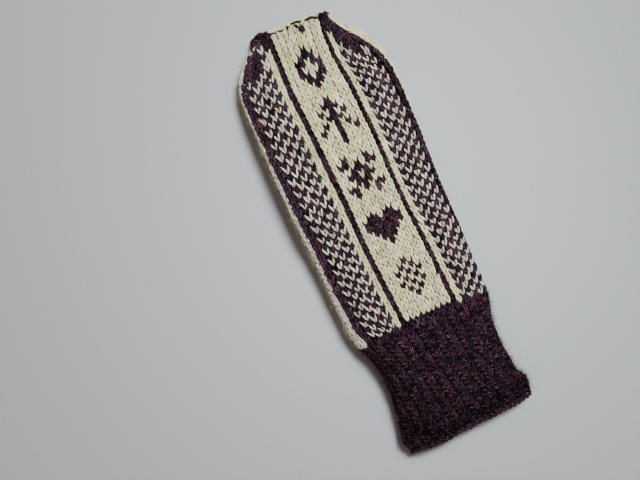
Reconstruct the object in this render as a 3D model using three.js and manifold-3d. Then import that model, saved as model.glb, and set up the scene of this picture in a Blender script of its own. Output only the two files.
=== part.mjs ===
// A hand-knitted mitten that lies palm down, its thumb folded flat under the palm.
// Millimetres. +Y points to the fingertips, +X to the side away from the thumb, +Z up.
// The origin is on the floor, under the middle of the mitten's outline.

import * as THREE from 'three';
import { mergeVertices } from 'three/addons/utils/BufferGeometryUtils.js';
import Module from 'manifold-3d';

// Driving sizes
const HAND_WALL = 2.9;
const CUFF_WALL = 3.4;
const THUMB_WALL = 2.8;
const GAP = 0.3;

// Where the hand joins the cuff
const JOIN_Y = -62.7;

// A cut runs this far past the open end that it makes.
const CUT_PAST = 1;

// A section is a flattened ring: a superellipse whose underside is pressed flat.
const ROUNDING = 2.6;
const PRESSED_FLAT = 0.06;

// The palm rests on the thumb on one side and on the floor on the other.
const THUMB_HEIGHT = 11.2;
const PALM_LIFT = THUMB_HEIGHT + GAP;
const LIFT_STARTS = -3;
const LIFT_FULL = 20;
const LIFT_FADES = 76;
const TIP_Y = 137.7;
const LIFT_LEFT_AT_TIP = 0.14;
const LIFT_SIDE_FULL = -8;
const LIFT_SIDE_NONE = 26;

// Ribbing and cast-on edge
const CUFF_STITCHES = 52;
const POINTS_PER_RIB = 4;
const RIB_DEPTH = 0.9;
const RIB_FADE_START = -70;
const MOUTH_Y = -134;
const EDGE_RADIUS = 1.8;
const EDGE_Y = MOUTH_Y - GAP - EDGE_RADIUS;
const EDGE_BUMP = 0.35;
const EDGE_SIDES = 5;
const EDGE_INSET = 1.9;

// The mouth of the cuff curls up towards the hand at its right corner.
const MOUTH_CURL = 5.5;
const CURL_SIDE_STARTS = 18;
const CURL_SIDE_FULL = 44;
const CURL_STARTS = -104;
const CURL_FULL = -128;

// Tip seam and the yarn ends at its corners
const HAND_END = 133.7;
const SEAM_RADIUS = 1.6;
const SEAM_SIDES = 6;
const SEAM_STEPS = 12;
const SEAM_BOW = 0.6;
const SEAM_END_SHARE = 0.12;
const SEAM_BLUNTNESS = 6;
const SEAM = { left: -24.5, right: 22.5, y: HAND_END + GAP + SEAM_RADIUS, z: 4.2 };
const KNOT_RADII = { x: 2.6, y: 1.8, z: 1.8 };
const KNOT_SEAT = 3.25;
const KNOTS = [
  { name: 'tip_knot_left', x: -19.5 },
  { name: 'tip_knot_right', x: 18.5 },
];

// Mesh density
const HAND_COLUMNS = 44;
const HAND_STATIONS = [
  JOIN_Y, -50, -36, -20, -8, -3, 2, 7, 12, 17, 22, 34, 48, 62, 76, 88, 98,
  106, 113, 119, 124, 128, 131,
];
const CUFF_STEPS = 7;
const THUMB_COLUMNS = 22;
const THUMB_STEPS = 7;
const TIP_CLOSING_STEPS = 5;
const KNOT_SIDES = 8;
const SAMPLES_PER_POINT = 12;

// Cross-sections. left and right: the outline from above. back: the height of the back
// over the middle. tilt: how much higher its left side is than its middle.
const CUFF_SECTIONS = [
  { y: MOUTH_Y, left: -40.8, right: 44.2, back: 19.2, tilt: 0.3 },
  { y: -126.7, left: -42.6, right: 45.0, back: 19.8, tilt: 0.5 },
  { y: -117.7, left: -41.4, right: 43.1, back: 19.5, tilt: 0.7 },
  { y: -108.8, left: -38.9, right: 41.3, back: 19.2, tilt: 0.9 },
  { y: -99.5, left: -37.7, right: 39.9, back: 19.2, tilt: 1.2 },
  { y: -90.2, left: -36.8, right: 39.5, back: 19.4, tilt: 1.5 },
  { y: -81.3, left: -37.4, right: 39.9, back: 20.0, tilt: 1.9 },
  { y: -72.3, left: -39.6, right: 41.0, back: 20.7, tilt: 2.4 },
  { y: JOIN_Y - GAP, left: -41.9, right: 43.7, back: 21.3, tilt: 3.0 },
];
const HAND_SECTIONS = [
  { y: JOIN_Y, left: -41.9, right: 43.7, back: 21.3, tilt: 3.0 },
  { y: -54.1, left: -44.4, right: 44.1, back: 21.7, tilt: 3.2 },
  { y: -35.8, left: -46.3, right: 44.4, back: 22.0, tilt: 3.8 },
  { y: -17.7, left: -46.8, right: 45.0, back: 22.2, tilt: 4.4 },
  { y: 0, left: -47.5, right: 45.3, back: 22.4, tilt: 4.9 },
  { y: 18.5, left: -48.1, right: 45.5, back: 22.3, tilt: 5.2 },
  { y: 55.0, left: -48.3, right: 47.2, back: 21.8, tilt: 5.2 },
  { y: 73.2, left: -48.2, right: 48.2, back: 21.4, tilt: 4.8 },
  { y: 91.5, left: -48.1, right: 48.1, back: 19.9, tilt: 3.8 },
  { y: 100.4, left: -47.6, right: 46.4, back: 18.2, tilt: 3.1 },
  { y: 109.5, left: -46.8, right: 43.1, back: 16.8, tilt: 2.5 },
  { y: 118.7, left: -43.8, right: 38.6, back: 15.0, tilt: 1.8 },
  { y: 127.7, left: -36.8, right: 31.3, back: 11.8, tilt: 1.2 },
  { y: HAND_END, left: -28.6, right: 25.2, back: 7.6, tilt: 0.7 },
];
const THUMB_SECTIONS = [
  { y: -8, left: -45.2, right: -6.4, back: THUMB_HEIGHT, tilt: 0 },
  { y: 20, left: -45.0, right: -6.6, back: THUMB_HEIGHT, tilt: 0 },
  { y: 42, left: -44.4, right: -7.6, back: THUMB_HEIGHT, tilt: 0 },
  { y: 58, left: -43.0, right: -9.4, back: THUMB_HEIGHT, tilt: 0 },
];
const THUMB_TIP_LENGTH = 15;
const THUMB_TIP_SWEEP = 1.3;
const THUMB_TIP_FLATNESS = 0.72;
const THUMB_PASSAGE_STARTS = -2;

// Smooth step from 0 at one value to 1 at another, whichever is larger
function ease(from, to, value) {
  const t = THREE.MathUtils.clamp((value - from) / (to - from), 0, 1);
  return t * t * (3 - 2 * t);
}

// A section between the rows of a table, on a smooth curve through them
function sectionAt(table, y) {
  let i = 0;
  while (i < table.length - 2 && y > table[i + 1].y) i += 1;
  const here = table[i];
  const next = table[i + 1];
  const before = table[Math.max(i - 1, 0)];
  const after = table[Math.min(i + 2, table.length - 1)];
  const span = next.y - here.y;
  const t = (y - here.y) / span;
  const section = { y };
  for (const column of ['left', 'right', 'back', 'tilt']) {
    const slopeHere = (next[column] - before[column]) / (next.y - before.y) * span;
    const slopeNext = (after[column] - here[column]) / (after.y - here.y) * span;
    section[column] = here[column] * (1 + 2 * t) * (1 - t) ** 2
      + slopeHere * t * (1 - t) ** 2
      + next[column] * t * t * (3 - 2 * t)
      + slopeNext * t * t * (t - 1);
  }
  return section;
}

// How far the palm is raised by the thumb under it
function palmLift(x, y) {
  const side = 1 - ease(LIFT_SIDE_FULL, LIFT_SIDE_NONE, x);
  const rise = ease(LIFT_STARTS, LIFT_FULL, y);
  const fade = 1 - (1 - LIFT_LEFT_AT_TIP) * ease(LIFT_FADES, TIP_Y, y);
  return PALM_LIFT * side * rise * fade;
}

function onTheFloor() {
  return 0;
}

function signedPower(value, power) {
  return Math.sign(value) * Math.abs(value) ** power;
}

// One point of a section: angle 0 is its right edge, a quarter turn on is its back.
function wallPoint(section, angle, inset, underside) {
  const middle = (section.left + section.right) / 2;
  const reach = (section.right - section.left) / 2 - inset;
  const across = signedPower(Math.cos(angle), 2 / ROUNDING);
  const upward = (1 + signedPower(Math.sin(angle), 2 / ROUNDING)) / 2;
  const height = Math.max(0, (upward - PRESSED_FLAT) / (1 - PRESSED_FLAT));
  const x = middle + reach * across;
  const low = underside(x, section.y) + inset;
  const high = section.back - section.tilt * across - inset;
  return new THREE.Vector3(x, section.y, low + height * (high - low));
}

// Angles that divide a section's outline into equal lengths, starting at its right edge
function evenAngles(section, count, underside) {
  const fine = SAMPLES_PER_POINT * count;
  const lengths = [0];
  let last = wallPoint(section, 0, 0, underside);
  for (let i = 1; i <= fine; i += 1) {
    const next = wallPoint(section, 2 * Math.PI * i / fine, 0, underside);
    lengths.push(lengths[i - 1] + next.distanceTo(last));
    last = next;
  }
  const angles = [];
  let i = 0;
  for (let k = 0; k < count; k += 1) {
    const wanted = lengths[fine] * k / count;
    while (lengths[i + 1] < wanted) i += 1;
    const share = (wanted - lengths[i]) / (lengths[i + 1] - lengths[i]);
    angles.push(2 * Math.PI * (i + share) / fine);
  }
  return angles;
}

// A ring of points round a section
function ring(section, count, inset, underside) {
  return evenAngles(section, count, underside)
    .map((angle) => wallPoint(section, angle, inset, underside));
}

function curlMouth(point) {
  const side = ease(CURL_SIDE_STARTS, CURL_SIDE_FULL, point.x);
  point.y += MOUTH_CURL * side * ease(CURL_STARTS, CURL_FULL, point.y);
  return point;
}

// A closed solid through rings of equal length, each end closed by a fan
function loft(rings) {
  const count = rings[0].length;
  const positions = [];
  const index = [];
  const addPoint = (p) => positions.push(p.x, p.y, p.z);
  for (const points of rings) points.forEach(addPoint);
  for (let r = 0; r < rings.length - 1; r += 1) {
    for (let i = 0; i < count; i += 1) {
      const a = r * count + i;
      const b = r * count + (i + 1) % count;
      index.push(a, a + count, b, b, a + count, b + count);
    }
  }
  const ends = [{ ring: 0, turn: 1 }, { ring: rings.length - 1, turn: -1 }];
  for (const end of ends) {
    const centre = new THREE.Vector3();
    rings[end.ring].forEach((p) => centre.add(p));
    addPoint(centre.divideScalar(count));
    const middle = positions.length / 3 - 1;
    for (let i = 0; i < count; i += 1) {
      const a = end.ring * count + i;
      const b = end.ring * count + (i + 1) % count;
      if (end.turn > 0) index.push(middle, a, b);
      else index.push(middle, b, a);
    }
  }
  const geometry = new THREE.BufferGeometry();
  geometry.setAttribute('position', new THREE.Float32BufferAttribute(positions, 3));
  geometry.setIndex(index);
  return geometry;
}

const wasm = await Module();
wasm.setup();

function toSolid(geometry) {
  const bare = geometry.clone();
  bare.deleteAttribute('normal');
  bare.deleteAttribute('uv');
  const merged = mergeVertices(bare);
  return new wasm.Manifold(new wasm.Mesh({
    numProp: 3,
    vertProperties: new Float32Array(merged.attributes.position.array),
    triVerts: new Uint32Array(merged.index.array),
  }));
}

function toGeometry(solid) {
  const mesh = solid.getMesh();
  const geometry = new THREE.BufferGeometry();
  geometry.setAttribute('position', new THREE.Float32BufferAttribute(mesh.vertProperties, 3));
  geometry.setIndex(Array.from(mesh.triVerts));
  return geometry;
}

// Rings that draw the thumb's end together in a half round
function thumbTip(inset) {
  const last = THUMB_SECTIONS[THUMB_SECTIONS.length - 1];
  const rings = [];
  for (let i = 1; i <= TIP_CLOSING_STEPS; i += 1) {
    const t = Math.sin(THUMB_TIP_SWEEP * i / TIP_CLOSING_STEPS);
    const shrink = Math.sqrt(1 - t * t);
    const pulledIn = (last.right - last.left) / 2 * (1 - shrink);
    const section = {
      y: last.y + (THUMB_TIP_LENGTH - inset) * t,
      left: last.left + pulledIn,
      right: last.right - pulledIn,
      back: last.back * (THUMB_TIP_FLATNESS + (1 - THUMB_TIP_FLATNESS) * shrink),
      tilt: last.tilt,
    };
    rings.push(ring(section, THUMB_COLUMNS, inset, onTheFloor));
  }
  return rings;
}

function cuffShape() {
  const first = CUFF_SECTIONS[0].y;
  const last = CUFF_SECTIONS[CUFF_SECTIONS.length - 1].y;
  const count = CUFF_STITCHES / 2 * POINTS_PER_RIB;
  const outside = [];
  const inside = [];
  for (let i = 0; i <= CUFF_STEPS; i += 1) {
    const y = THREE.MathUtils.lerp(first, last, i / CUFF_STEPS);
    const section = sectionAt(CUFF_SECTIONS, y);
    const depth = RIB_DEPTH * (1 - ease(RIB_FADE_START, last, y));
    outside.push(evenAngles(section, count, onTheFloor).map((angle, k) => {
      const furrow = (1 - Math.cos(2 * Math.PI * k / POINTS_PER_RIB)) / 2;
      return curlMouth(wallPoint(section, angle, depth * furrow, onTheFloor));
    }));
    inside.push(ring(section, CUFF_STITCHES, CUFF_WALL, onTheFloor).map(curlMouth));
  }
  inside[0].forEach((p) => { p.y -= CUT_PAST; });
  inside[CUFF_STEPS].forEach((p) => { p.y += CUT_PAST; });
  return toGeometry(toSolid(loft(outside)).subtract(toSolid(loft(inside))));
}

// A ring of one bump for each stitch, round the mouth of the cuff
function castOnEdgeShape() {
  const section = sectionAt(CUFF_SECTIONS, CUFF_SECTIONS[0].y);
  section.y = EDGE_Y;
  const steps = 2 * CUFF_STITCHES;
  const positions = [];
  const index = [];
  evenAngles(section, steps, onTheFloor).forEach((angle, i) => {
    const centre = wallPoint(section, angle, EDGE_INSET, onTheFloor);
    const outer = wallPoint(section, angle, 0, onTheFloor);
    const outward = outer.sub(centre).normalize();
    const radius = EDGE_RADIUS - (i % 2) * EDGE_BUMP;
    const curled = curlMouth(centre);
    for (let k = 0; k < EDGE_SIDES; k += 1) {
      const turn = 2 * Math.PI * k / EDGE_SIDES;
      const out = radius * Math.cos(turn);
      const along = radius * Math.sin(turn);
      const z = Math.max(0, curled.z + outward.z * out);
      positions.push(curled.x + outward.x * out, curled.y + along, z);
      const a = i * EDGE_SIDES + k;
      const b = i * EDGE_SIDES + (k + 1) % EDGE_SIDES;
      const ahead = ((i + 1) % steps) * EDGE_SIDES;
      const c = ahead + k;
      const d = ahead + (k + 1) % EDGE_SIDES;
      index.push(a, b, c, b, d, c);
    }
  });
  const geometry = new THREE.BufferGeometry();
  geometry.setAttribute('position', new THREE.Float32BufferAttribute(positions, 3));
  geometry.setIndex(index);
  return geometry;
}

// The hand's form, drawn in by an inset; a hollow one runs out through its open end.
function handSolid(inset) {
  const end = HAND_END - Math.max(inset, 0);
  const stations = [...HAND_STATIONS.filter((y) => y < end), end];
  const rings = stations.map(
    (y) => ring(sectionAt(HAND_SECTIONS, y), HAND_COLUMNS, inset, palmLift),
  );
  if (inset > 0) rings[0].forEach((p) => { p.y -= CUT_PAST; });
  return toSolid(loft(rings));
}

function thumbSolid(inset, from) {
  const last = THUMB_SECTIONS[THUMB_SECTIONS.length - 1].y;
  const rings = [];
  for (let i = 0; i <= THUMB_STEPS; i += 1) {
    const y = THREE.MathUtils.lerp(from, last, i / THUMB_STEPS);
    rings.push(ring(sectionAt(THUMB_SECTIONS, y), THUMB_COLUMNS, inset, onTheFloor));
  }
  return toSolid(loft([...rings, ...thumbTip(inset)]));
}

function handShape() {
  const passage = thumbSolid(THUMB_WALL, THUMB_PASSAGE_STARTS);
  return toGeometry(handSolid(0).subtract(handSolid(HAND_WALL)).subtract(passage));
}

function thumbShape() {
  const start = THUMB_SECTIONS[0].y;
  const outside = thumbSolid(0, start);
  const hollow = thumbSolid(THUMB_WALL, start - CUT_PAST);
  return toGeometry(outside.subtract(hollow).subtract(handSolid(-GAP)));
}

// A rounded bar across the flat end of the tip, bowed a little outward
function tipSeamShape() {
  const rings = [];
  for (let i = 0; i <= SEAM_STEPS; i += 1) {
    const t = i / SEAM_STEPS;
    const taper = Math.sqrt(Math.max(SEAM_END_SHARE, 1 - (2 * t - 1) ** SEAM_BLUNTNESS));
    const x = THREE.MathUtils.lerp(SEAM.right, SEAM.left, t);
    const y = SEAM.y + SEAM_BOW * Math.sin(Math.PI * t);
    const points = [];
    for (let k = 0; k < SEAM_SIDES; k += 1) {
      const turn = 2 * Math.PI * k / SEAM_SIDES;
      const along = SEAM_RADIUS * taper * Math.cos(turn);
      const up = SEAM_RADIUS * taper * Math.sin(turn);
      points.push(new THREE.Vector3(x, y + along, SEAM.z + up));
    }
    rings.push(points);
  }
  return loft(rings);
}

function knotShape() {
  const geometry = new THREE.SphereGeometry(1, KNOT_SIDES, KNOT_SIDES - 2);
  geometry.scale(KNOT_RADII.x, KNOT_RADII.y, KNOT_RADII.z);
  return geometry;
}

const creamWool = { color: 0xcdc8af, roughness: 0.95, metalness: 0 };
const darkWool = { color: 0x35262f, roughness: 0.95, metalness: 0 };

function piece(name, geometry, look) {
  geometry.computeVertexNormals();
  const mesh = new THREE.Mesh(geometry, new THREE.MeshStandardMaterial(look));
  mesh.name = name;
  return mesh;
}

const mitten = new THREE.Group();
mitten.add(piece('cuff', cuffShape(), darkWool));
mitten.add(piece('cast_on_edge', castOnEdgeShape(), darkWool));
mitten.add(piece('hand', handShape(), creamWool));
mitten.add(piece('thumb', thumbShape(), creamWool));
mitten.add(piece('tip_seam', tipSeamShape(), creamWool));
for (const knot of KNOTS) {
  const mesh = piece(knot.name, knotShape(), darkWool);
  mesh.position.set(knot.x, SEAM.y + SEAM_BOW / 2, SEAM.z + KNOT_SEAT);
  mitten.add(mesh);
}

export default mitten;
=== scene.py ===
"""A hand-knitted two-colour mitten, every stitch modelled as yarn on the mitten's form.

Lengths are in millimetres up to the meshes, which are in metres. +Y points to the fingertips.
"""

import math
from functools import partial

import bpy
import numpy as np
from mathutils import Matrix, Vector


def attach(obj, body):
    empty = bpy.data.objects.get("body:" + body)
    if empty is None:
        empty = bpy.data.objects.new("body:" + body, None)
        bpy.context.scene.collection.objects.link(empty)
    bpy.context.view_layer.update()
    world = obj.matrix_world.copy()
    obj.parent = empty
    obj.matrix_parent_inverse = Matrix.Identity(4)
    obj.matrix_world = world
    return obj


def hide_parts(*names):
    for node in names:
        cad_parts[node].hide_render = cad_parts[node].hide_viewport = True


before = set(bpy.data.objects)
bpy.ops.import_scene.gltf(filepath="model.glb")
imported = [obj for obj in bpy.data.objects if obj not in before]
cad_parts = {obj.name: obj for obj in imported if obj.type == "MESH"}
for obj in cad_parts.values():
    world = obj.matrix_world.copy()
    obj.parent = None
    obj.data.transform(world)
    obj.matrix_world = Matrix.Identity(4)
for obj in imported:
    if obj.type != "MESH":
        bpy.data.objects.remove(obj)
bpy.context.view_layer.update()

MM = 0.001
FULL_TURN = 2 * math.pi
UPWARD = np.array([0.0, 0.0, 1.0])
TIPWARD = np.array([0.0, 1.0, 0.0])

# The form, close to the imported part's
CUFF_WALL, HAND_WALL, THUMB_WALL = 3.4, 2.9, 2.8
JOIN_Y = -62.7
MOUTH_Y = -134.0
HAND_END = 133.7
ROUNDING = 2.6
PRESSED_FLAT = 0.06
MOUTH_X = (-42, -14, 4, 20, 30, 40, 46)
MOUTH_RISE = (0.4, 0.5, 2.2, 2.9, 3.0, 3.6, 5.0)
MOUTH_CURVE_Y = (-104, -128)

# The tip leans and rises from TIP_CURVE_Y on, and closes beyond HAND_END
TIP_Y = 137.7
TIP_CURVE_Y = 96
TIP_SLOPE = 0.06
TIP_RISE = 1.8
TIP_CLOSING = 5.5
TIP_DEPTH = 2.9
TIP_DEPTH_BY_INSET = 0.4
TIP_NARROWING = 0.06
LEFT_TIP_X, RIGHT_TIP_X = -35, 30

# The thumb under the palm, and how it lifts the palm
THUMB_HEIGHT = 11.2
PALM_LIFT = 11.5
PALM_LIFT_AT_TIP = 0.14
LIFT_ENDS_X = (-8, 26)
LIFT_STARTS_Y = (-3, 20)
LIFT_FADES_Y = 76
THUMB_HOLE_EDGE = 2.2
THUMB_HOLE_Y = (-2.5, 60)
THUMB_HOLE_TOP = 10.0

# Sections: y, left and right edge in x, height of the back, and how far it slopes down rightwards
COLUMNS = ("y", "left", "right", "back", "tilt")
CUFF_SECTIONS = np.array([
    (-134, -39.4, 43.8, 17.2, 0.3),
    (-130, -41.8, 45.0, 18.6, 0.4),
    (-123.6, -41.1, 44.7, 19.5, 0.5),
    (-119, -39.8, 41.9, 19.6, 0.6),
    (-113.7, -38.7, 41.0, 19.4, 0.8),
    (-107.5, -37.9, 40.5, 19.2, 0.9),
    (-99.5, -37.0, 39.6, 19.2, 1.2),
    (-92, -36.6, 39.3, 19.4, 1.5),
    (-84, -37.0, 40.0, 19.8, 1.8),
    (-76.6, -38.4, 41.1, 20.4, 2.1),
    (-70.5, -40.0, 42.9, 20.8, 2.5),
    (-65, -42.3, 44.2, 21.2, 2.9),
    (-62.7, -43.4, 44.2, 21.3, 3.0),
])
HAND_SECTIONS = np.array([
    CUFF_SECTIONS[-1],
    (-54.1, -45.3, 44.5, 21.7, 3.2),
    (-35.8, -46.3, 44.4, 22.0, 3.8),
    (-17.7, -46.5, 45.0, 22.2, 4.4),
    (0, -47.1, 45.1, 22.4, 4.9),
    (18.5, -47.7, 45.4, 22.3, 5.2),
    (55.0, -48.0, 47.5, 21.8, 5.2),
    (73.2, -47.7, 48.7, 21.4, 4.8),
    (91.5, -47.9, 48.3, 19.9, 3.8),
    (100.4, -47.6, 46.6, 18.2, 3.1),
    (109.5, -46.6, 43.7, 16.8, 2.5),
    (115.0, -44.6, 40.9, 15.7, 2.1),
    (121.2, -40.8, 35.9, 14.0, 1.7),
    (127.3, -35.4, 29.9, 11.6, 1.2),
    (130.8, -31.2, 28.6, 9.8, 1.0),
    (134.5, -29.0, 25.4, 7.2, 0.7),
    (139.0, -26.5, 22.0, 5.0, 0.5),
])
THUMB_SECTIONS = np.array([
    (-8, -45.2, -6.4, THUMB_HEIGHT, 0),
    (20, -45.0, -6.6, THUMB_HEIGHT, 0),
    (42, -44.4, -7.6, THUMB_HEIGHT, 0),
    (58, -43.0, -9.4, THUMB_HEIGHT, 0),
])
THUMB_TIP_LENGTH = 15.0
THUMB_TIP_SWEEP = 1.5
THUMB_TIP_REACH = 20.0
THUMB_TIP_FLATNESS = 0.3

# One leg of a stitch: across in stitch widths, along in rows, out and half size in mm
LEG_ACROSS = np.array([0.03, 0.09, 0.175, 0.27, 0.37, 0.43])
CHECK_LEG_ACROSS = np.array([0.03, 0.09, 0.185, 0.29, 0.405, 0.48])
RIB_LEG_ACROSS = np.array([0.07, 0.12, 0.21, 0.31, 0.38, 0.39])
LEG_ALONG = np.array([-0.62, -0.42, -0.06, 0.30, 0.64, 0.92])
LEG_OUT = np.array([-1.2, -0.28, 0.20, 0.28, 0.0, -0.9])
LEG_SIZE = np.array([0.42, 0.78, 1.0, 1.0, 0.84, 0.45])
LEG_HALF = 0.212
HIGH_SHARE = 0.9

# Hand-made unevenness. WAVER: size in mm, then length of its waves
STITCH_SHIFT, STITCH_SWELL, LEG_LEAN = 0.05, 0.08, 0.07
ROW_WAVER = (0.5, 90)
COLUMN_WAVER = (0.45, 70)
COLUMN_WAVER_SHIFT = 31
MOUTH_WAVER = (1.4, 60)
MOUTH_WAVER_LENGTH = 300
COLUMN_TONE, STITCH_TONE = 0.6, 0.8
SWELL_WAVE = 3.6

# Thickness of each colour's stitches, and how far checks spread and stand out
PLAIN_SHARE = {"cream": 1.0, "dark": 1.06}
LEFT_CHECK_SHARE = {"cream": 0.8, "dark": 1.18}
RIGHT_CHECK_SHARE = {"cream": 0.75, "dark": 1.22}
CHECK_OUT = {"cream": 0.0, "dark": 0.1}
CHECK_SPREAD = {"cream": 1.3, "dark": 1.1}
LINE_UNEVEN = 0.24

# Hand: its stitches, and how deep the yarn and the wall behind it lie
STITCH_INSET = 0.6
BACKING_INSET = 1.7
LINING_RINGS = 260
HAND_ROWS = 53
SIDE_STITCHES = 3
BACK_STITCHES = 25
PALM_STITCHES = 25
SIDE_PITCH = 3.75

# Rows bow and fan out a little: where some of them start, in four columns of the back
ROW_COLUMNS = (1.5, 4.5, 19.5, 22.5)
ROW_STARTS = np.array([
    (0, -59.6, -59.0, -59.8, -61.3),
    (1, -57.6, -56.8, -56.3, -57.4),
    (5, -42.8, -41.6, -42.2, -42.6),
    (10, -25.6, -24.4, -24.5, -24.7),
    (15, -7.7, -7.1, -6.5, -6.9),
    (20, 10.6, 10.6, 10.7, 10.5),
    (25, 30.1, 30.0, 29.0, 28.7),
    (30, 50.1, 49.4, 47.4, 47.0),
    (35, 70.8, 69.8, 65.9, 65.9),
    (40, 91.2, 89.7, 84.6, 84.8),
    (45, 110.0, 108.5, 101.6, 101.2),
    (49, 123.9, 122.9, 119.2, 118.3),
    (53, 138.9, 138.6, 138.2, 138.1),
])
BAND_DROP, BAND_DROP_ROWS = 0.8, (1, 5)
SIDE_DROP, SIDE_DROP_ROWS = 3.0, (0, 9)

# Where columns of the back lie: the dark line at each side of the centre band, and the outer
# dark columns. The right one keeps its distance from its line below the first place given.
LEFT_LINE = 7
RIGHT_LINE = 17
LINE_TIP_X = (-16, 17)
LINES_Y = (-62.7, -46, -21, 4, 28, 53, 78, 90, 98, 109, 121, 135)
LEFT_LINE_X = (-11.9, -12.8, -14.3, -14.9, -15.3, -15.9, -16.8, -17.5, -17.5, -17.1, -16.7, -15.9)
RIGHT_LINE_X = (22.2, 21.7, 20.7, 19.0, 18.8, 19.2, 18.4, 18.1, 17.2, 16.4, 17.1, 19.8)
LEFT_EDGE_Y = (
    -62.7, -58, -55, -51, -46, -21, 4, 28, 53, 78, 90, 100.5, 109.3, 113.7, 118.1, 122.5, 126.9,
    131.4, 135,
)
LEFT_EDGE_X = (
    -35.4, -36.4, -37.8, -38.9, -39.1, -40.7, -41.4, -42.9, -43.5, -43.9, -44.3, -44.0, -42.9,
    -41.1, -38.0, -35.4, -32.2, -28.9, -26.8,
)
RIGHT_EDGE_Y = (78, 90, 97, 102.6, 108.8, 115, 121.1, 127.3, 132.2, 135)
RIGHT_EDGE_X = (45.2, 44.4, 42.6, 40.1, 36.5, 32.0, 26.7, 23.5, 21.6, 21.1)
RIGHT_PITCH_Y = (-60, -21, 8, 28, 88, 102, 115)
RIGHT_PITCH = (3.87, 3.91, 3.72, 3.92, 3.77, 3.28, 3.2)
RIGHT_LINE_SHIFT = 0.17
LINE_WIDTHS = {
    LEFT_LINE: (0.9, 0.95, 0.76, 0.93, 0.72, 0.88, 0.62, 1.1, 1.08, 0.46, 0.76, 0.9),
    RIGHT_LINE: (1.05, 1.15, 0.72, 0.8, 0.58, 0.55, 0.56, 0.74, 0.54, 0.68, 0.38, 0.6),
}
LEFT_SQUEEZE_Y = (-52, -44, 50, 66)
LEFT_SQUEEZE = (0.93, 0.96, 0.96, 0.98)
LEFT_EDGE_WIDTH = 1.16
TRACKS_END = 135.0
FAR = 99.0
SHOWN_GAP = 0.42
PALM_SHOWN_GAP = 0.6

# Where each side starts to narrow, and how near the edge stitches are then dark
LEFT_NARROWING = (110.0, 2.9)
RIGHT_NARROWING = (101.5, 3.0)
LAST_INNER_CREAM_ROW = 49
ODD_CREAM = {(1, 45), (1, 46), (23, 46), (0, 50), (5, 48), (5, 50)}
ODD_DARK = {(13, 51)}

# Small traditional motifs of the centre band, each drawn downwards from the row given
MOTIFS = {
    48: ("..#..", ".###.", "##.##", "#...#", "##.##", ".###.", "..#.."),
    39: ("...#...", "..###..", ".#.#.#.", "..###..", ".#.#.#.", "#..#..#", "...#...", "...#..."),
    29: (".#...#.", "##.#.##", "..###..", ".##.##.", "..###..", "##.#.##", ".#...#."),
    19: (".##.##.", "#######", "#######", ".#####.", "..###..", "...#..."),
    10: ("..#..", ".#.#.", "#.#.#", ".#.#.", "#.#.#", ".#.#.", "..#.."),
}
BAND_MIDDLE = 12

# Cuff: plain columns outside, the other columns inside. Ribs drift towards the mouth.
CUFF_STITCHES = 52
CUFF_ROWS = 21
PLAIN_PITCH = 3.6
FIRST_ROW = 0.6
RIB_SPREAD, INNER_RIB_SPREAD = 0.74, 1.2
RIB_SIZE, INNER_RIB_SIZE = 1.2, 0.9
RIB_DRIFT_Y = (-134, -85, -60)
RIB_DRIFT = (11.9, 3.0, 0.0)
CUFF_LINING_INSETS = (1.0, 1.7)
# Painted shade: the stitches' tone falls by this much towards the mouth, between these two places
# along
MOUTH_PAINTED_SHADE = -1.6
MOUTH_PAINTED_SHADE_Y = (-100, MOUTH_Y + 3)

# A bar between ribs: across in stitch widths, out and half size in mm
BAR_ACROSS = np.array([-0.74, -0.52, -0.1, 0.28, 0.45])
BAR_OUT = np.array([-1.2, -0.35, 0.0, -0.25, -1.9])
BAR_SIZE = np.array([0.46, 0.62, 0.72, 0.63, 0.44])
BAR_SHIFT, BAR_SWELL = 0.12, 0.06
# The two bars of a row: place and bow in rows, out in mm
ROW_BARS = ((0.3, 0.2, 0.0), (0.84, -0.12, -0.3))

# Cast-on edge: a rope just inside the mouth and past it
EDGE_STEPS = 7
EDGE_IN, EDGE_PAST = 0.8, 1.5
EDGE_RADIUS, EDGE_HALF = 0.95, 1.05

# Thumb: stitches in each round, from the hand to the tip
THUMB_STITCHES = 24
THUMB_START = -3.0
THUMB_PITCH = 3.9
THUMB_WIDTH_AT = 0.4
THUMB_ROUNDS = [THUMB_STITCHES] * 17 + [20, 14, 8]
WIDEST_THUMB_STITCH = 4.6
THUMB_COVER, THUMB_LINING_COVER = 0.6, 1.5

# Closed edge of the tip: a ridge, dark at its left end
SEAM_LEFT, SEAM_RIGHT, SEAM_Y, SEAM_Z = -24.5, 22.5, 137.6, 4.4
DARK_RIDGE_END = -15.0
RIDGE_INSET = 1.0
RIDGE_STEPS = 2.4
RIDGE_BOW = 0.6
RIDGE_RAISE = (0.6, 0.4)
RIDGE_RADIUS, RIDGE_HALF = 0.8, 0.85
RIDGE_TURN_LENGTH = 6.9
YARN_ABOVE_FORM, RIDGE_ABOVE_SEAM = 0.6, 1.6
HEIGHT_REACH = 1.0
THREAD_STEPS = 3

# Dark yarn that shows along the seam: half its thickness, then points in x and y
SEAM_THREADS = (
    (0.6, ((-14.6, 137.5), (-11.0, 136.9))),
    (0.5, ((-8.5, 137.8), (-8.5, 136.6), (-6.1, 136.3), (-6.1, 137.2))),
    (0.6, ((-2.4, 137.8), (-2.3, 136.2))),
    (0.3, ((-6.7, 139.5), (-0.6, 139.2))),
    (0.65, ((0.6, 138.5), (4.0, 138.2), (6.7, 137.2))),
    (0.75, ((2.4, 136.4), (3.3, 134.3))),
    (0.65, ((5.5, 135.3), (5.8, 133.2))),
    (0.85, ((9.4, 136.6), (13.4, 137.0), (17.6, 134.7))),
)

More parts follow.
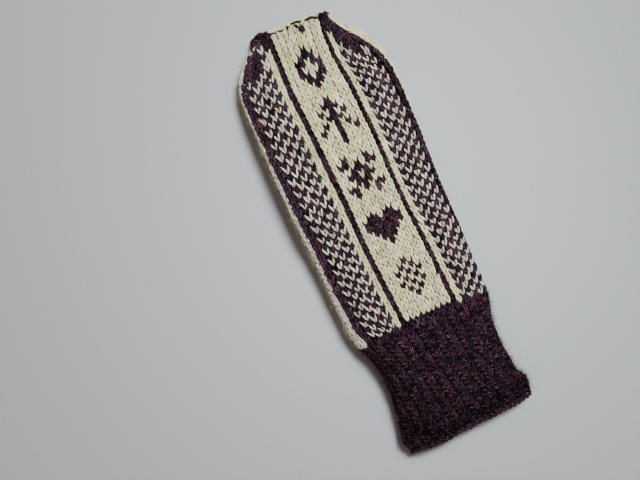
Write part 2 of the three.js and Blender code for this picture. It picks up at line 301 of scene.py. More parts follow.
# Where each knot lies, its loose end's length and way, and how far apart its loops lie
KNOTS = {
    "tip_knot_left": ((-19.5, 139.6), 1.4, (-0.3, 1.0, 0.1), 0.8),
    "tip_knot_right": ((20.8, 136.2), 4.0, (1.0, -0.45, 0.1), 0.3),
}
KNOT_LOOPS = 5
KNOT_STEPS = 9
KNOT_RAISE = 2.9
LOOP_TURN = (3.2, 4.6)
LOOP_WIDE, LOOP_TALL = 1.7, 1.35
LOOP_SHIFT, LOOP_DROP, LOOP_HALF = 0.25, 0.7, 0.72
END_HALF, END_TAPER, END_CURL = 0.8, 0.3, 2.2

# Loose fibres: colour, surface, count, span along it, lengths, how upright, share of the
# way round, half thickness
ALL_ROUND = (0, 1)
CUFF_RIGHT, CUFF_LEFT = (-0.03, 0.03), (0.44, 0.52)
HAND_RIGHT, HAND_LEFT = (-0.05, -0.005), (0.485, 0.53)
HAND_SPAN, CUFF_SPAN, THUMB_SPAN = (JOIN_Y, HAND_END), (MOUTH_Y, JOIN_Y), (12, 76)
FIBRES = (
    ("cream", "hand", 1700, HAND_SPAN, (0.8, 2.8), 0.6, ALL_ROUND, 0.055),
    ("cream", "hand", 70, (JOIN_Y + 8, HAND_END), (4.0, 8.0), 0.3, ALL_ROUND, 0.045),
    ("dark", "hand", 900, HAND_SPAN, (0.8, 3.0), 0.6, ALL_ROUND, 0.055),
    ("dark", "cuff", 3000, CUFF_SPAN, (0.8, 3.2), 0.6, ALL_ROUND, 0.055),
    ("dark", "cuff", 50, CUFF_SPAN, (4.0, 7.5), 0.3, ALL_ROUND, 0.045),
    ("dark", "cuff", 1100, CUFF_SPAN, (1.0, 3.4), 1.8, CUFF_RIGHT, 0.06),
    ("dark", "cuff", 1100, CUFF_SPAN, (1.0, 3.4), 1.8, CUFF_LEFT, 0.06),
    ("cream", "hand", 1100, HAND_SPAN, (1.0, 2.8), 1.8, HAND_RIGHT, 0.06),
    ("cream", "hand", 1100, HAND_SPAN, (1.0, 2.8), 1.8, HAND_LEFT, 0.06),
    ("cream", "thumb", 200, THUMB_SPAN, (0.8, 2.6), 0.6, ALL_ROUND, 0.055),
)
FIBRE_TOP = 28.0
FIBRE_STEPS = 4
FIBRE_START = 0.3
FIBRE_UPRIGHT = (0.15, 1.0)
FIBRE_LEAN, FIBRE_BEND, FIBRE_CURL = 0.5, 0.315, 0.3
# Where on the yarn a loose fibre takes its colour from: out to its side and up, in mm. At this height
# the painted shade on a yarn's lower side leaves the fibres unshaded.
LOOSE_PLACE = (0.0, 0.7)
YARN_BOTTOM, LINING_BOTTOM = 0.02, 0.3

rng = np.random.default_rng(11)
# Waves of unevenness: times round the mitten, times along it, and start
WAVES = [
    (int(a), b, c)
    for a, b, c in zip(rng.integers(2, 15, 9), rng.uniform(-1, 1, 9), rng.uniform(0, FULL_TURN, 9))
]


def waver(along, around, size, cell):
    """A smooth hand-made unevenness, the same at every run."""
    waves = (
        np.sin(FULL_TURN * (fx * around + fy * along / cell) + phase) for fx, fy, phase in WAVES
    )
    return size * sum(waves) / len(WAVES)


def ease(start, end, value):
    """Smooth step from 0 at start to 1 at end, whichever is larger."""
    t = np.clip((value - start) / (end - start), 0, 1)
    return t * t * (3 - 2 * t)


def unit(vectors):
    return vectors / (np.linalg.norm(vectors, axis=-1, keepdims=True) + 1e-12)


def distances(lines):
    """How far along its line each point is, for several lines at once."""
    steps = np.linalg.norm(np.diff(lines, axis=1), axis=-1)
    return np.pad(np.cumsum(steps, axis=1), ((0, 0), (1, 0)))


def section_at(table, y):
    """The table's columns at each y, on smooth curves through its rows."""
    y = np.asarray(y, float)
    rows, v = table[:, 0], table[:, 1:].T
    i = np.clip(np.searchsorted(rows, y) - 1, 0, len(rows) - 2)
    before, after = np.maximum(i - 1, 0), np.minimum(i + 2, len(rows) - 1)
    span = rows[i + 1] - rows[i]
    t = (y - rows[i]) / span
    slope_here = (v[:, i + 1] - v[:, before]) / (rows[i + 1] - rows[before]) * span
    slope_next = (v[:, after] - v[:, i]) / (rows[after] - rows[i]) * span
    values = (
        v[:, i] * (1 + 2 * t) * (1 - t) ** 2 + slope_here * t * (1 - t) ** 2
        + v[:, i + 1] * t * t * (3 - 2 * t) + slope_next * t * t * (t - 1)
    )
    return dict(zip(COLUMNS, (y, *values)))


def palm_lift(x, y):
    """How far the palm is raised by the thumb under it."""
    fade = 1 - (1 - PALM_LIFT_AT_TIP) * ease(LIFT_FADES_Y, TIP_Y, y)
    return PALM_LIFT * (1 - ease(*LIFT_ENDS_X, x)) * ease(*LIFT_STARTS_Y, y) * fade


def signed_power(value, power):
    return np.sign(value) * np.abs(value) ** power


def outlines(section, angles, inset, lifted=False):
    """Outlines of several sections at once, one row of points for each."""
    middle = ((section["left"] + section["right"]) / 2)[:, None]
    reach = ((section["right"] - section["left"]) / 2 - inset)[:, None]
    across = signed_power(np.cos(angles), 2 / ROUNDING)[None, :]
    upward = (1 + signed_power(np.sin(angles), 2 / ROUNDING)) / 2
    height = np.maximum(0, (upward - PRESSED_FLAT) / (1 - PRESSED_FLAT))[None, :]
    x = middle + reach * across
    y = np.broadcast_to(section["y"][:, None], x.shape)
    low = inset + (palm_lift(x, y) if lifted else 0)
    high = section["back"][:, None] - section["tilt"][:, None] * across - inset
    return np.stack([x, y, low + height * np.maximum(high - low, 0.1)], axis=-1)


class Surface:
    """A tube of rings, read by the distance along it and the share of the way round.

    The way round starts at the right edge and goes over the back to the left edge.
    """

    FINE = 2400
    AROUND = 720
    NORMAL_REACH = 3

    def __init__(self, along, rings_at, flip=False):
        self.start, self.end = along[0], along[-1]
        self.count = len(along)
        angles = np.linspace(0, FULL_TURN, self.FINE, endpoint=False)
        rings = rings_at(along, angles)
        closed = np.concatenate([rings, rings[:, :1]], axis=1)
        lengths = distances(closed)
        self.perimeter = lengths[:, -1]
        share = np.linspace(0, 1, self.AROUND, endpoint=False)
        self.grid = np.empty((self.count, self.AROUND, 3))
        for j, length in enumerate(lengths):
            for k in range(3):
                self.grid[j, :, k] = np.interp(share * length[-1], length, closed[j, :, k])
        d_along = np.gradient(self.grid, axis=0)
        reach = self.NORMAL_REACH
        d_around = np.roll(self.grid, -reach, axis=1) - np.roll(self.grid, reach, axis=1)
        normals = unit(np.cross(d_along, d_around))
        self.normals = -normals if flip else normals

    def station(self, along):
        """Index of the ring before each place, and the share of the way to the next."""
        f = (np.clip(along, self.start, self.end) - self.start) / (self.end - self.start)
        f = f * (self.count - 1)
        j = np.minimum(f.astype(int), self.count - 2)
        return j, f - j

    def girth(self, along):
        j, t = self.station(along)
        return self.perimeter[j] * (1 - t) + self.perimeter[j + 1] * t

    def at(self, along, around):
        """Points and outward normals."""
        j, t = self.station(along)
        g = np.mod(around, 1.0) * self.AROUND
        i = np.floor(g).astype(int)
        s = (g - i)[..., None]
        i = i % self.AROUND
        i2 = (i + 1) % self.AROUND
        t = t[..., None]
        found = []
        for field in (self.grid, self.normals):
            low = field[j, i] * (1 - s) + field[j, i2] * s
            high = field[j + 1, i] * (1 - s) + field[j + 1, i2] * s
            found.append(low * (1 - t) + high * t)
        return found[0], unit(found[1])

    def around_at(self, j, x, side):
        """The share round ring j at which the back, or the palm, has that x."""
        xs = self.grid[j, :, 0]
        left = int(np.argmin(xs))
        if side == "back":
            piece = np.arange(0, left + 1)
            return np.interp(-x, -xs[piece], piece) / self.AROUND
        piece = np.arange(left, self.AROUND)
        return np.interp(x, xs[piece], piece) / self.AROUND


def risen(y, x):
    """The real distance along of a place on the ring at y, as the tip leans and rises."""
    return y + (TIP_RISE - TIP_SLOPE * x) * ease(TIP_CURVE_Y, HAND_END, y)


def hand_rings(inset, along, angles):
    y = np.minimum(along, HAND_END)
    section = section_at(HAND_SECTIONS, y)
    section["left"] = section_at(HAND_SECTIONS, risen(y, LEFT_TIP_X))["left"]
    section["right"] = section_at(HAND_SECTIONS, risen(y, RIGHT_TIP_X))["right"]
    points = outlines(section, angles, inset, lifted=True)
    turn = np.clip((along - HAND_END) / TIP_CLOSING, 0, 1) * math.pi / 2
    squash = np.cos(turn)[:, None]
    middle = ((points[..., 2].min(axis=1) + points[..., 2].max(axis=1)) / 2)[:, None]
    points[..., 2] = middle + (points[..., 2] - middle) * squash
    points[..., 1] += (TIP_DEPTH - inset * TIP_DEPTH_BY_INSET) * np.sin(turn)[:, None]
    centre = points[..., 0].mean(axis=1)[:, None]
    narrowed = 1 - TIP_NARROWING * (1 - squash)
    points[..., 0] = centre + (points[..., 0] - centre) * narrowed
    points[..., 1] = risen(points[..., 1], points[..., 0])
    return points


def cuff_rings(inset, along, angles):
    points = outlines(section_at(CUFF_SECTIONS, along), angles, inset)
    rise = np.interp(points[..., 0], MOUTH_X, MOUTH_RISE)
    points[..., 1] += rise * ease(*MOUTH_CURVE_Y, points[..., 1])
    return points


def thumb_rings(inset, along, angles):
    last_y = THUMB_SECTIONS[-1, 0]
    section = section_at(THUMB_SECTIONS, np.minimum(along, last_y))
    turn = THUMB_TIP_SWEEP * np.clip((along - last_y) / THUMB_TIP_REACH, 0, 1)
    shrink = np.cos(turn)
    pulled_in = (section["right"] - section["left"]) / 2 * (1 - shrink)
    section["left"] = section["left"] + pulled_in
    section["right"] = section["right"] - pulled_in
    section["back"] = section["back"] * shrink ** THUMB_TIP_FLATNESS
    section["y"] = np.minimum(along, last_y) + (THUMB_TIP_LENGTH - inset) * np.sin(turn)
    return outlines(section, angles, inset)


# The surfaces that the yarn lies on
hand_along = np.linspace(JOIN_Y - 2.5, HAND_END + TIP_CLOSING, 640)
cuff_along = np.linspace(MOUTH_Y - 1.5, JOIN_Y + 2.5, 240)
thumb_along = np.linspace(THUMB_SECTIONS[0, 0], THUMB_SECTIONS[-1, 0] + THUMB_TIP_REACH, 300)
hand_surface = Surface(hand_along, partial(hand_rings, STITCH_INSET))
cuff_surface = Surface(cuff_along, partial(cuff_rings, STITCH_INSET))
cuff_inside = Surface(cuff_along, partial(cuff_rings, CUFF_WALL - STITCH_INSET), flip=True)
thumb_surface = Surface(thumb_along, partial(thumb_rings, STITCH_INSET))

pieces = []


class Yarn:
    """Tubes of one yarn, gathered into one mesh."""

    LONGEST_SHIFT = 400

    def __init__(self, sides, loose=False):
        self.sides = sides
        self.loose = loose
        self.batches = []

    def add(self, points, normals, wide, high, tone):
        """points and normals: (tubes, steps, 3). wide and high: half sizes (tubes, steps)."""
        if len(points):
            self.batches.append((points, normals, wide, high, tone))

    def strand(self, path, normals, half, tone):
        """One round tube. normals and half may be one value for the whole path."""
        size = np.broadcast_to(half, (1, len(path)))
        self.add(path[None], np.broadcast_to(normals, path.shape)[None], size, size, tone)

    def finish(self, name, colour, node):
        """Makes the mesh, as a piece that shows the node in that colour."""
        verts, coords, tones, quads, caps = [], [], [], [], []
        base = 0
        for points, normals, wide, high, tone in self.batches:
            tubes, steps, _ = points.shape
            tangent = unit(np.gradient(points, axis=1))
            side = unit(np.cross(tangent, normals))
            up = np.cross(side, tangent)
            turn = FULL_TURN * np.arange(self.sides) / self.sides
            out, rise = wide[..., None] * np.cos(turn), high[..., None] * np.sin(turn)
            ring = (
                points[:, :, None] + side[:, :, None] * out[..., None]
                + up[:, :, None] * rise[..., None]
            )
            ring[..., 2] = np.maximum(ring[..., 2], YARN_BOTTOM)
            long = distances(points) + rng.uniform(0, self.LONGEST_SHIFT, (tubes, 1))
            long = np.broadcast_to(long[..., None], ring.shape[:3])
            coord = np.stack([long, out, rise], axis=-1)
            if self.loose:
                coord[..., 0] = coord[:, :1, :1, 0]
                coord[..., 1:] = LOOSE_PLACE
            verts.append(ring.reshape(-1, 3))
            coords.append(coord.reshape(-1, 3))
            tones.append(np.repeat(tone, steps * self.sides))
            index = base + np.arange(tubes * steps * self.sides)
            index = index.reshape(tubes, steps, self.sides)
            a, b = index[:, :-1], index[:, 1:]
            quad = np.stack([a, np.roll(a, -1, axis=2), np.roll(b, -1, axis=2), b], axis=-1)
            quads.append(quad.reshape(-1, 4))
            caps += [index[:, 0, ::-1], index[:, -1]]
            base += tubes * steps * self.sides
        faces = [np.concatenate(quads), np.concatenate(caps)]
        made = {"yarn": np.concatenate(coords), "tone": np.concatenate(tones)}
        pieces.append((build_mesh(name, np.concatenate(verts), faces, made), colour, node))


def build_mesh(name, points, faces, attributes):
    """A smooth mesh from points in millimetres and groups of faces of equal size."""
    mesh = bpy.data.meshes.new(name)
    mesh.vertices.add(len(points))
    mesh.vertices.foreach_set("co", (points * MM).astype(np.float32).ravel())
    loops = np.concatenate([f.ravel() for f in faces])
    sizes = np.concatenate([np.full(len(f), f.shape[1]) for f in faces])
    mesh.loops.add(len(loops))
    mesh.loops.foreach_set("vertex_index", loops.astype(np.int32))
    mesh.polygons.add(len(sizes))
    starts = np.concatenate([[0], np.cumsum(sizes)[:-1]])
    mesh.polygons.foreach_set("loop_start", starts.astype(np.int32))
    mesh.polygons.foreach_set("use_smooth", np.ones(len(sizes), bool))
    for key, values in attributes.items():
        kind, field = ("FLOAT_VECTOR", "vector") if values.ndim == 2 else ("FLOAT", "value")
        made = mesh.attributes.new(key, kind, "POINT")
        made.data.foreach_set(field, values.astype(np.float32).ravel())
    mesh.update(calc_edges=True)
    mesh.validate()
    obj = bpy.data.objects.new(name, mesh)
    bpy.context.scene.collection.objects.link(obj)
    return obj


def legs(surface, track, along, pitch, width, size=1.0, leg_across=LEG_ACROSS):
    """Both legs of each stitch: points and normals on the surface, and half sizes.

    track is the way round, or gives it for distances along. along, pitch and width hold
    one value for each stitch.
    """
    count = len(along)
    made = []
    shift = rng.normal(0, STITCH_SHIFT, (count, 2))
    swell = rng.normal(1.0, STITCH_SWELL, count)
    for side in (-1, 1):
        lean = rng.normal(0, LEG_LEAN, count)
        a = along[:, None] + pitch[:, None] * (LEG_ALONG + shift[:, 1:2] + lean[:, None])
        across = side * leg_across + shift[:, :1]
        girth = surface.girth(a)
        way_round = track(a) if callable(track) else track
        around = way_round + across * width[:, None] / girth
        a = a + waver(a, around, *ROW_WAVER)
        around = around + waver(a + COLUMN_WAVER_SHIFT, around, *COLUMN_WAVER) / girth
        points, normals = surface.at(a, around)
        points = points + normals * LEG_OUT[None, :, None]
        wide = LEG_SIZE * (LEG_HALF * width * swell)[:, None] * size
        made.append((points, normals, wide, wide * HIGH_SHARE))
    return made


def add_stitches(
    yarns, colours, surface, track, along, pitch, width, check_share=None, uneven=0.0,
):
    """Stitches onto the yarn of each one's colour.

    check_share gives each colour's thickness in a check, where stitches are wider.
    """
    wave = 0.6 * np.sin(along / SWELL_WAVE + rng.uniform(0, 6)) + rng.normal(0, 0.6, len(along))
    swell = 1 + uneven * wave
    tone = rng.normal(0, COLUMN_TONE) + rng.normal(0, STITCH_TONE, len(along))
    checked = check_share is not None
    share = check_share if checked else PLAIN_SHARE
    leg_across = CHECK_LEG_ACROSS if checked else LEG_ACROSS
    spread = np.array([CHECK_SPREAD[colour] if checked else 1.0 for colour in colours])
    for points, normals, wide, high in legs(
        surface, track, along, pitch, width * spread, (swell / spread)[:, None], leg_across,
    ):
        for colour, yarn in yarns.items():
            chosen = colours == colour
            out = CHECK_OUT[colour] if checked else 0.0
            yarn.add(
                points[chosen] + out * normals[chosen], normals[chosen],
                wide[chosen] * share[colour], high[chosen] * share[colour], tone[chosen],
            )


def row_edges(part, c):
    """Distances along the hand at which each row of stitches starts in a column."""
    column = {"back": c, "palm": c, "left": -c, "right": BACK_STITCHES - 1 + c}[part]
    marked = [np.interp(column, ROW_COLUMNS, starts) for starts in ROW_STARTS[:, 1:]]
    rows = np.arange(HAND_ROWS + 1)
    edges = np.interp(rows, ROW_STARTS[:, 0], marked)
    if part == "back" and LEFT_LINE < c < RIGHT_LINE:
        edges -= BAND_DROP * (1 - ease(*BAND_DROP_ROWS, rows))
    if part == "left":
        edges -= SIDE_DROP * (1 - ease(*SIDE_DROP_ROWS, rows))
    return edges


# The dark lines and the outer dark columns of the back: the way round at every ring
hand_y = np.clip(hand_along, JOIN_Y, TRACKS_END)
hand_girth = hand_surface.perimeter


def way_over_back(near_x, heights, places):
    """The way round at every ring of a column that passes those places."""
    wanted = np.interp(risen(hand_y, near_x), heights, places)
    return np.array([hand_surface.around_at(j, x, "back") for j, x in enumerate(wanted)])


left_line = way_over_back(LINE_TIP_X[0], LINES_Y, LEFT_LINE_X)
right_line = way_over_back(LINE_TIP_X[1], LINES_Y, RIGHT_LINE_X)
left_edge = way_over_back(LEFT_TIP_X, LEFT_EDGE_Y, LEFT_EDGE_X)
right_edge = way_over_back(RIGHT_TIP_X, RIGHT_EDGE_Y, RIGHT_EDGE_X)
first = np.searchsorted(hand_y, RIGHT_EDGE_Y[0])
steady = (right_line[first] - right_edge[first]) * hand_girth[first]
right_edge = np.where(hand_y < RIGHT_EDGE_Y[0], right_line - steady / hand_girth, right_edge)

narrow = np.searchsorted(hand_y, RIGHT_NARROWING[0])
side_share = SIDE_PITCH / hand_girth
everywhere, far = np.ones(hand_surface.count, bool), np.full(hand_surface.count, FAR)


def back_tracks():
    """For each column: the way round and width at every ring, and where it shows.

    The last of the four is the distance to the outer dark column, in stitches.
    """
    squeeze = np.interp(hand_y, LEFT_SQUEEZE_Y, LEFT_SQUEEZE)
    left_pitch = (left_edge - left_line) * hand_girth / LEFT_LINE * squeeze
    left_pitch[narrow:] = left_pitch[narrow]
    right_pitch = np.interp(hand_y, RIGHT_PITCH_Y, RIGHT_PITCH)
    band_pitch = (left_line - right_line) * hand_girth / (RIGHT_LINE - LEFT_LINE)
    tracks = {}
    for c in range(BACK_STITCHES):
        edge_gap = far
        if c == 0:
            where, width = left_edge, left_pitch * LEFT_EDGE_WIDTH
        elif c == BACK_STITCHES - 1:
            where, width = right_edge, right_pitch
        elif c < LEFT_LINE:
            where, width = left_line + (LEFT_LINE - c) * left_pitch / hand_girth, left_pitch
            edge_gap = (left_edge - where) * hand_girth / left_pitch
        elif c > RIGHT_LINE:
            steps = c - RIGHT_LINE - RIGHT_LINE_SHIFT
            where, width = right_line - steps * right_pitch / hand_girth, right_pitch
            edge_gap = (where - right_edge) * hand_girth / right_pitch
        else:
            where, width = left_line - (c - LEFT_LINE) * band_pitch / hand_girth, band_pitch
            if c in LINE_WIDTHS:
                width = band_pitch * np.interp(hand_y, LINES_Y, LINE_WIDTHS[c])
        tracks["back", c] = (where, width, edge_gap > SHOWN_GAP, edge_gap)
    return tracks


def side_tracks():
    """The same for the columns round each side of the hand."""
    tracks = {}
    width = np.full(hand_surface.count, SIDE_PITCH)
    for k in range(1, SIDE_STITCHES + 1):
        tracks["left", k] = (left_edge + k * side_share, width, everywhere, far)
        tracks["right", k] = (right_edge - k * side_share, width, everywhere, far)
    return tracks


def palm_tracks():
    """The same for the palm, where columns end at the edge as the hand narrows."""
    s = hand_surface
    left = left_edge + (SIDE_STITCHES + 1) * side_share
    right = right_edge - (SIDE_STITCHES + 1) * side_share + 1
    width = (right - left) * hand_girth / (PALM_STITCHES - 1)
    width[narrow:] = width[narrow]
    tracks = {}
    for c in range(PALM_STITCHES):
        where = left + c / (PALM_STITCHES - 1) * (right - left)
        shown = everywhere
        if 0 < c < PALM_STITCHES - 1:
            place = where[narrow] * s.AROUND
            steady_x = np.interp(place, np.arange(s.AROUND), s.grid[narrow, :, 0])
            for j in range(narrow, s.count):
                where[j] = s.around_at(j, steady_x, "palm")
            gap = np.minimum(where - left, right - where) * hand_girth
            shown = gap > PALM_SHOWN_GAP * width[narrow]
        tracks["palm", c] = (where, width, shown, far)
    return tracks


def motif_stitches():
    """(column, row) of each dark stitch in the centre band's motifs."""
    dark = set()
    for top, lines in MOTIFS.items():
        for k, line in enumerate(lines):
            first = BAND_MIDDLE - len(line) // 2
            dark |= {(first + i, top - k) for i, mark in enumerate(line) if mark == "#"}
    return dark


HAND_TRACKS = back_tracks() | side_tracks() | palm_tracks()
MOTIF_STITCHES = motif_stitches()


def back_colour(c, row, gap, y):
    if (c, row) in ODD_CREAM:
        return "cream"
    if c in (0, LEFT_LINE, RIGHT_LINE, BACK_STITCHES - 1) or (c, row) in ODD_DARK:
        return "dark"
    if LEFT_LINE < c < RIGHT_LINE:
        return "dark" if row == 0 or (c, row) in MOTIF_STITCHES else "cream"
    if c in (LEFT_LINE - 1, RIGHT_LINE + 1):
        return "dark" if row > LAST_INNER_CREAM_ROW else "cream"
    narrowing_y, reach = LEFT_NARROWING if c < LEFT_LINE else RIGHT_NARROWING
    return "dark" if (c + row) % 2 or (y > narrowing_y and gap < reach) else "cream"


def palm_colour(c, row):
    """Small cream windows in a dark grid."""
    inner = 0 < c < PALM_STITCHES - 1
    return "cream" if inner and (row % 4 == 0) == (c % 4 == 0) else "dark"


def stitch_colour(part, c, row, gap, y):
    if part == "back":
        return back_colour(c, row, gap, y)
    return palm_colour(c, row) if part == "palm" else "cream"


def covered_by_thumb(points):
    """True where the palm opens into the thumb."""
    x, y, z = points.T
    section = section_at(THUMB_SECTIONS, np.clip(y, *THUMB_SECTIONS[[0, -1], 0]))
    across = (x > section["left"] + THUMB_HOLE_EDGE) & (x < section["right"] - THUMB_HOLE_EDGE)
    return across & (y > THUMB_HOLE_Y[0]) & (y < THUMB_HOLE_Y[1]) & (z < THUMB_HOLE_TOP)


def follow(where, a):
    """The way round of a column of the hand at distances along."""
    return np.interp(a, hand_along, where)


def knit_hand():
    """Every stitch of the hand and the wall behind them."""
    yarn_of = {
        (part, colour): Yarn(6)
        for part in ("back", "checks", "palm") for colour in ("cream", "dark")
    }
    for (part, c), (where, width, shown, gap) in HAND_TRACKS.items():
        edges = row_edges(part, c)
        starts = edges[:-1]
        index = np.clip(np.searchsorted(hand_along, starts), 0, len(hand_along) - 1)
        colours = np.array([
            stitch_colour(part, c, row, gap[j], starts[row]) for row, j in enumerate(index)
        ])
        keep = shown[index]
        if part == "palm":
            centre, _ = hand_surface.at(starts, where[index])
            keep = keep & ~covered_by_thumb(centre)
        checked = part == "back" and not LEFT_LINE - 1 <= c <= RIGHT_LINE + 1
        look = "checks" if checked or part == "left" else "palm" if part == "palm" else "back"
        yarns = {colour: yarn_of[look, colour] for colour in ("cream", "dark")}
        check_share = LEFT_CHECK_SHARE if c < LEFT_LINE else RIGHT_CHECK_SHARE
        add_stitches(
            yarns, colours[keep], hand_surface, partial(follow, where), starts[keep],
            np.diff(edges)[keep], width[index][keep], check_share if checked else None,
            LINE_UNEVEN if part == "back" and c in LINE_WIDTHS else 0.0,
        )
    for (part, colour), yarn in yarn_of.items():
        look = "cream_checks" if (part, colour) == ("checks", "cream") else colour
        yarn.finish(f"hand_{part}_{colour}", look, "hand")
    tip = HAND_END + np.linspace(0.8, 5.0, 5)
    wall(
        "hand_lining", "lining", "hand", hand_rings, (BACKING_INSET, HAND_WALL),
        np.concatenate([np.linspace(JOIN_Y, HAND_END, 90), tip]), around=112,
        is_open=covered_by_thumb, shade=hand_shade(),
    )


def hand_shade():
    """A function giving how dark the yarn is at places on the hand, from 0 to 1."""
    names = list(HAND_TRACKS)
    where = np.array([np.mod(HAND_TRACKS[name][0], 1) for name in names])
    shown = np.array([HAND_TRACKS[name][2] for name in names])
    starts = [row_edges(*name) for name in names]

    def shade(a, around):
        j = int(np.clip(np.searchsorted(hand_along, a), 0, len(hand_along) - 1))
        dark = []
        for share in around:
            gap = np.abs(np.mod(where[:, j] - share + 0.5, 1) - 0.5)
            nearest = int(np.argmin(np.where(shown[:, j], gap, 9)))
            row = int(np.clip(np.searchsorted(starts[nearest], a) - 1, 0, HAND_ROWS - 1))
            edge_gap = HAND_TRACKS[names[nearest]][3][j]
            colour = stitch_colour(*names[nearest], row, edge_gap, starts[nearest][row])
            dark.append(colour == "dark")
        return np.array(dark, float)
    return shade


def wall(name, colour, node, rings, insets, along, around, is_open, shade):
    """A closed wall between two insets of rings, open where is_open says, dark or cream by shade. Its
    material darkens both as painted shade.
    """
    shares = (np.arange(around) + 0.5) / around
    layers = []
    for inset in insets:
        surface = Surface(np.linspace(along[0], along[-1], LINING_RINGS), partial(rings, inset))
        points, _ = surface.at(*np.meshgrid(along, shares, indexing="ij"))
        layers.append(points)
    rows = len(along)
    centre = (layers[0][:-1] + layers[0][1:]) / 2
    centre = (centre + np.roll(centre, -1, axis=1)) / 2
    kept = ~is_open(centre.reshape(-1, 3)).reshape(rows - 1, around)
    index = np.arange(rows * around).reshape(rows, around)
    a, b = index[:-1], index[1:]
    a2, b2 = np.roll(a, -1, axis=1), np.roll(b, -1, axis=1)
    size = rows * around
    faces = [np.stack([a, a2, b2, b], -1)[kept], np.stack([a, b, b2, a2], -1)[kept] + size]
    padded = np.pad(kept, ((1, 1), (0, 0)))
    sides = [
        (kept & ~padded[:-2], a2, a), (kept & ~padded[2:], b, b2),
        (kept & ~np.roll(kept, 1, axis=1), a, b), (kept & ~np.roll(kept, -1, axis=1), b2, a2),
    ]
    for edge, p, q in sides:
        faces.append(np.stack([p, q, q + size, p + size], -1)[edge])
    values = np.concatenate([shade(a_value, shares) for a_value in along] * 2)
    points = np.concatenate([layers[0].reshape(-1, 3), layers[1].reshape(-1, 3)])
    points[:, 2] = np.maximum(points[:, 2], LINING_BOTTOM)
    used = np.unique(np.concatenate([f.ravel() for f in faces]))
    place = np.zeros(2 * size, int)
    place[used] = np.arange(len(used))
    made = build_mesh(
        name, points[used], [place[f] for f in faces],
        {"yarn": points[used], "tone": np.zeros(len(used)), "shade": values[used]},
    )
    pieces.append((made, colour, node))


def nowhere(points):
    return np.zeros(len(points), bool)


def all_dark(along, around):
    return np.ones(len(around))


def rib_track(share, along):
    """The way round of a rib at each distance: ribs drift to the right towards the mouth."""
    drift = np.interp(along, RIB_DRIFT_Y, RIB_DRIFT)
    return share - drift / cuff_surface.girth(along)


def cuff_tone_with_painted_shade(along):
    """Random tones, and painted shade that darkens the stitches towards the mouth."""
    return rng.normal(0, 1, len(along)) + MOUTH_PAINTED_SHADE * ease(*MOUTH_PAINTED_SHADE_Y, along)


def bars(yarn, share, along, bow, width, out):
    """The small arches that the back of a stitch shows, one for each place along."""
    count = len(along)
    shift = rng.normal(0, BAR_SHIFT, (count, 1))
    a = along[:, None] + shift + bow[:, None] * (1 - (BAR_ACROSS / BAR_ACROSS[-1]) ** 2)
    around = rib_track(share, a) + BAR_ACROSS * width[:, None] / cuff_surface.girth(a)
    points, normals = cuff_surface.at(a + waver(a, around, *ROW_WAVER), around)
    points = points + normals * (BAR_OUT + out)[None, :, None]
    wide = np.broadcast_to(BAR_SIZE, points.shape[:2]) * rng.normal(1, BAR_SWELL, (count, 1))
    yarn.add(points, normals, wide, wide, cuff_tone_with_painted_shade(along))


def knit_cuff():
    """Single ribbing: plain columns outside, and the reverse of the other columns inside."""
    outside, inside = Yarn(6), Yarn(5)
    edges = np.linspace(MOUTH_Y + FIRST_ROW, ROW_STARTS[0, 1] - PLAIN_PITCH, CUFF_ROWS + 1)
    rows = edges[:-1]
    pitch = np.diff(edges)
    width = cuff_surface.girth(rows) / CUFF_STITCHES
    for k in range(CUFF_STITCHES):
        share = k / CUFF_STITCHES
        if k % 2 == 0:
            surface, yarn, size, spread = cuff_surface, outside, RIB_SIZE, RIB_SPREAD
        else:
            surface, yarn, size, spread = cuff_inside, inside, INNER_RIB_SIZE, INNER_RIB_SPREAD
        tone = cuff_tone_with_painted_shade(rows)
        track = partial(rib_track, share)
        for leg in legs(surface, track, rows, pitch, width * spread, size, RIB_LEG_ACROSS):
            yarn.add(*leg, tone)
        if k % 2:
            for place, bow, out in ROW_BARS:
                bars(outside, share, rows + place * pitch, bow * pitch, width, out)
    last_row(outside)
    wall(
        "cuff_lining", "lining_dark", "cuff", cuff_rings, CUFF_LINING_INSETS,
        np.linspace(MOUTH_Y, JOIN_Y, 24), around=104, is_open=nowhere, shade=all_dark,
    )
    outside.finish("cuff_ribs", "dark", "cuff")
    inside.finish("cuff_inner_ribs", "dark", "cuff")


def last_row(yarn):
    """The cuff's last row, with a plain stitch under each column of the hand."""
    j = np.searchsorted(hand_along, JOIN_Y)
    for name, (where, width, shown, _) in HAND_TRACKS.items():
        if not shown[j]:
            continue
        along = np.array([row_edges(*name)[0] - PLAIN_PITCH])
        tone = rng.normal(0, 1, 1)
        pitch = np.array([PLAIN_PITCH])
        for leg in legs(cuff_surface, where[j], along, pitch, width[j:j + 1]):
            yarn.add(*leg, tone)


def inside_hand(points, depth=THUMB_COVER):
    """True where a place on the thumb lies within the hand's own form."""
    return points[:, 2] > palm_lift(points[:, 0], points[:, 1]) + depth


def thumb_shade(a, around):
    row = int(np.clip((a - THUMB_START) // THUMB_PITCH, 0, len(THUMB_ROUNDS) - 1))
    return ((np.floor(around * THUMB_STITCHES) + row) % 2 == 0).astype(float)


